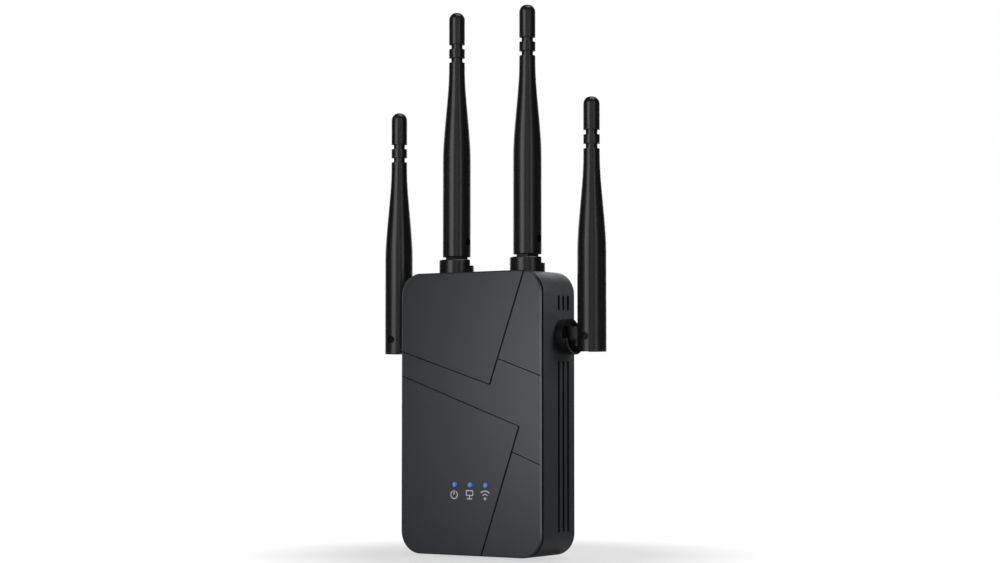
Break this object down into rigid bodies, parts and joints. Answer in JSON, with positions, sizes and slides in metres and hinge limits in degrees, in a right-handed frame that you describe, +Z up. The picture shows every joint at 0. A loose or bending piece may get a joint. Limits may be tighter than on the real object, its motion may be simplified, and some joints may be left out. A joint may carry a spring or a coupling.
{
  "type": "wifi range extender",
  "caption": "Upright plug-in wifi range extender with a grooved front cover and folding, swivelling antennas on its top and sides.",
  "frame": {"origin": "centre of the plug on the housing's wall face, midway between the blades", "axes": "+X right seen from the front, +Y into the wall along the blades, +Z up"},
  "size_m": [0.11, 0.0428, 0.2314],
  "materials": {
    "cover_plastic": "fine satin texture, dark slate grey",
    "housing_plastic": "satin, near black",
    "antenna_plastic": "satin black elastomer",
    "carrier_plastic": "matte black, flame retardant",
    "blade_metal": "nickel plated, lightly brushed",
    "light_lens": "clear light guide lit blue",
    "icon_ink": "printed white",
    "label_film": "blank satin film",
    "screw_steel": "zinc plated",
    "board_laminate": "green solder mask",
    "led_package": "moulded lens",
    "shield_metal": "tinned sheet",
    "chip_epoxy": "moulded epoxy",
    "jack_plastic": "moulded black",
    "contact_gold": "gold plated",
    "button_plastic": "satin",
    "ferrite": "sintered",
    "bobbin_plastic": "moulded",
    "winding_tape": "yellow polyester tape",
    "capacitor_sleeve": "shrink sleeve",
    "safety_yellow": "moulded box",
    "fuse_body": "moulded",
    "insulation_film": "translucent sheet",
    "spring_steel": "oiled",
    "pin_black": "blackened",
    "radiator_brass": "drawn tube",
    "lead_jacket": "coaxial jacket"
  },
  "bodies": {
    "housing": {"antenna_lead_inner_left": "lead_jacket", "antenna_lead_inner_right": "lead_jacket", "antenna_lead_outer_left": "lead_jacket", "antenna_lead_outer_right": "lead_jacket", "board_header": "jack_plastic", "bridge_rectifier": "chip_epoxy", "bulk_capacitors": "capacitor_sleeve", "case_screws": "screw_steel", "controller_chip": "chip_epoxy", "ethernet_contacts": "contact_gold", "ethernet_jack_insert": "jack_plastic", "ethernet_jack_shell": "shield_metal", "front_cover": "cover_plastic", "fuse": "fuse_body", "insulation_sheet": "insulation_film", "lan_transformer": "chip_epoxy", "led_chips": "led_package", "led_icons": "icon_ink", "light_guide": "light_lens", "line_inductor": "ferrite", "main_board": "board_laminate", "memory_chip": "chip_epoxy", "output_capacitor": "capacitor_sleeve", "plug_blades": "blade_metal", "plug_carrier": "carrier_plastic", "power_board": "board_laminate", "power_board_screws": "screw_steel", "processor_chip": "chip_epoxy", "radio_chips": "chip_epoxy", "radio_shield": "shield_metal", "rating_label": "label_film", "rear_housing": "housing_plastic", "safety_capacitor": "safety_yellow", "tact_switches": "chip_epoxy", "transformer_bobbin": "bobbin_plastic", "transformer_core": "ferrite", "transformer_winding": "winding_tape"},
    "wps_button": {"wps_button": "button_plastic", "wps_plunger": "button_plastic"},
    "reset_button": {"reset_plunger": "button_plastic"},
    "swivel_inner_left": {"swivel_base_inner_left": "antenna_plastic", "retaining_clip_inner_left": "spring_steel"},
    "antenna_inner_left": {"antenna_sleeve_inner_left": "antenna_plastic", "hinge_pin_inner_left": "pin_black", "radiator_inner_left": "radiator_brass"},
    "swivel_outer_left": {"swivel_base_outer_left": "antenna_plastic", "retaining_clip_outer_left": "spring_steel"},
    "antenna_outer_left": {"antenna_sleeve_outer_left": "antenna_plastic", "hinge_pin_outer_left": "pin_black", "radiator_outer_left": "radiator_brass"},
    "swivel_inner_right": {"swivel_base_inner_right": "antenna_plastic", "retaining_clip_inner_right": "spring_steel"},
    "antenna_inner_right": {"antenna_sleeve_inner_right": "antenna_plastic", "hinge_pin_inner_right": "pin_black", "radiator_inner_right": "radiator_brass"},
    "swivel_outer_right": {"swivel_base_outer_right": "antenna_plastic", "retaining_clip_outer_right": "spring_steel"},
    "antenna_outer_right": {"antenna_sleeve_outer_right": "antenna_plastic", "hinge_pin_outer_right": "pin_black", "radiator_outer_right": "radiator_brass"}
  },
  "joints": [
    {"name": "swivel_inner_left", "type": "hinge", "parent": "housing", "child": "swivel_inner_left", "pos_m": [-0.018, -0.0097, 0.058], "axis": [0, 0, 1], "range_deg": [0, 180]},
    {"name": "fold_inner_left", "type": "hinge", "parent": "swivel_inner_left", "child": "antenna_inner_left", "pos_m": [-0.018, -0.0097, 0.07185], "axis": [-1, 0, 0], "range_deg": [0, 90]},
    {"name": "swivel_outer_left", "type": "hinge", "parent": "housing", "child": "swivel_outer_left", "pos_m": [-0.0352, -0.009, 0.0307], "axis": [-1, 0, 0], "range_deg": [-90, 90]},
    {"name": "fold_outer_left", "type": "hinge", "parent": "swivel_outer_left", "child": "antenna_outer_left", "pos_m": [-0.04905, -0.009, 0.0307], "axis": [0, -1, 0], "range_deg": [0, 90]},
    {"name": "swivel_inner_right", "type": "hinge", "parent": "housing", "child": "swivel_inner_right", "pos_m": [0.018, -0.0097, 0.058], "axis": [0, 0, 1], "range_deg": [-180, 0]},
    {"name": "fold_inner_right", "type": "hinge", "parent": "swivel_inner_right", "child": "antenna_inner_right", "pos_m": [0.018, -0.0097, 0.07185], "axis": [-1, 0, 0], "range_deg": [0, 90]},
    {"name": "swivel_outer_right", "type": "hinge", "parent": "housing", "child": "swivel_outer_right", "pos_m": [0.0352, -0.009, 0.0307], "axis": [1, 0, 0], "range_deg": [-90, 90]},
    {"name": "fold_outer_right", "type": "hinge", "parent": "swivel_outer_right", "child": "antenna_outer_right", "pos_m": [0.04905, -0.009, 0.0307], "axis": [0, 1, 0], "range_deg": [0, 90]},
    {"name": "press_wps", "type": "slide", "parent": "housing", "child": "wps_button", "axis": [0, 0, 1], "range_m": [0, 0.0005], "stiffness_N_per_m": 1500, "springref_m": -0.0005},
    {"name": "press_reset", "type": "slide", "parent": "housing", "child": "reset_button", "axis": [0, 0, 1], "range_m": [0, 0.0003], "stiffness_N_per_m": 2500, "springref_m": -0.0003}
  ]
}
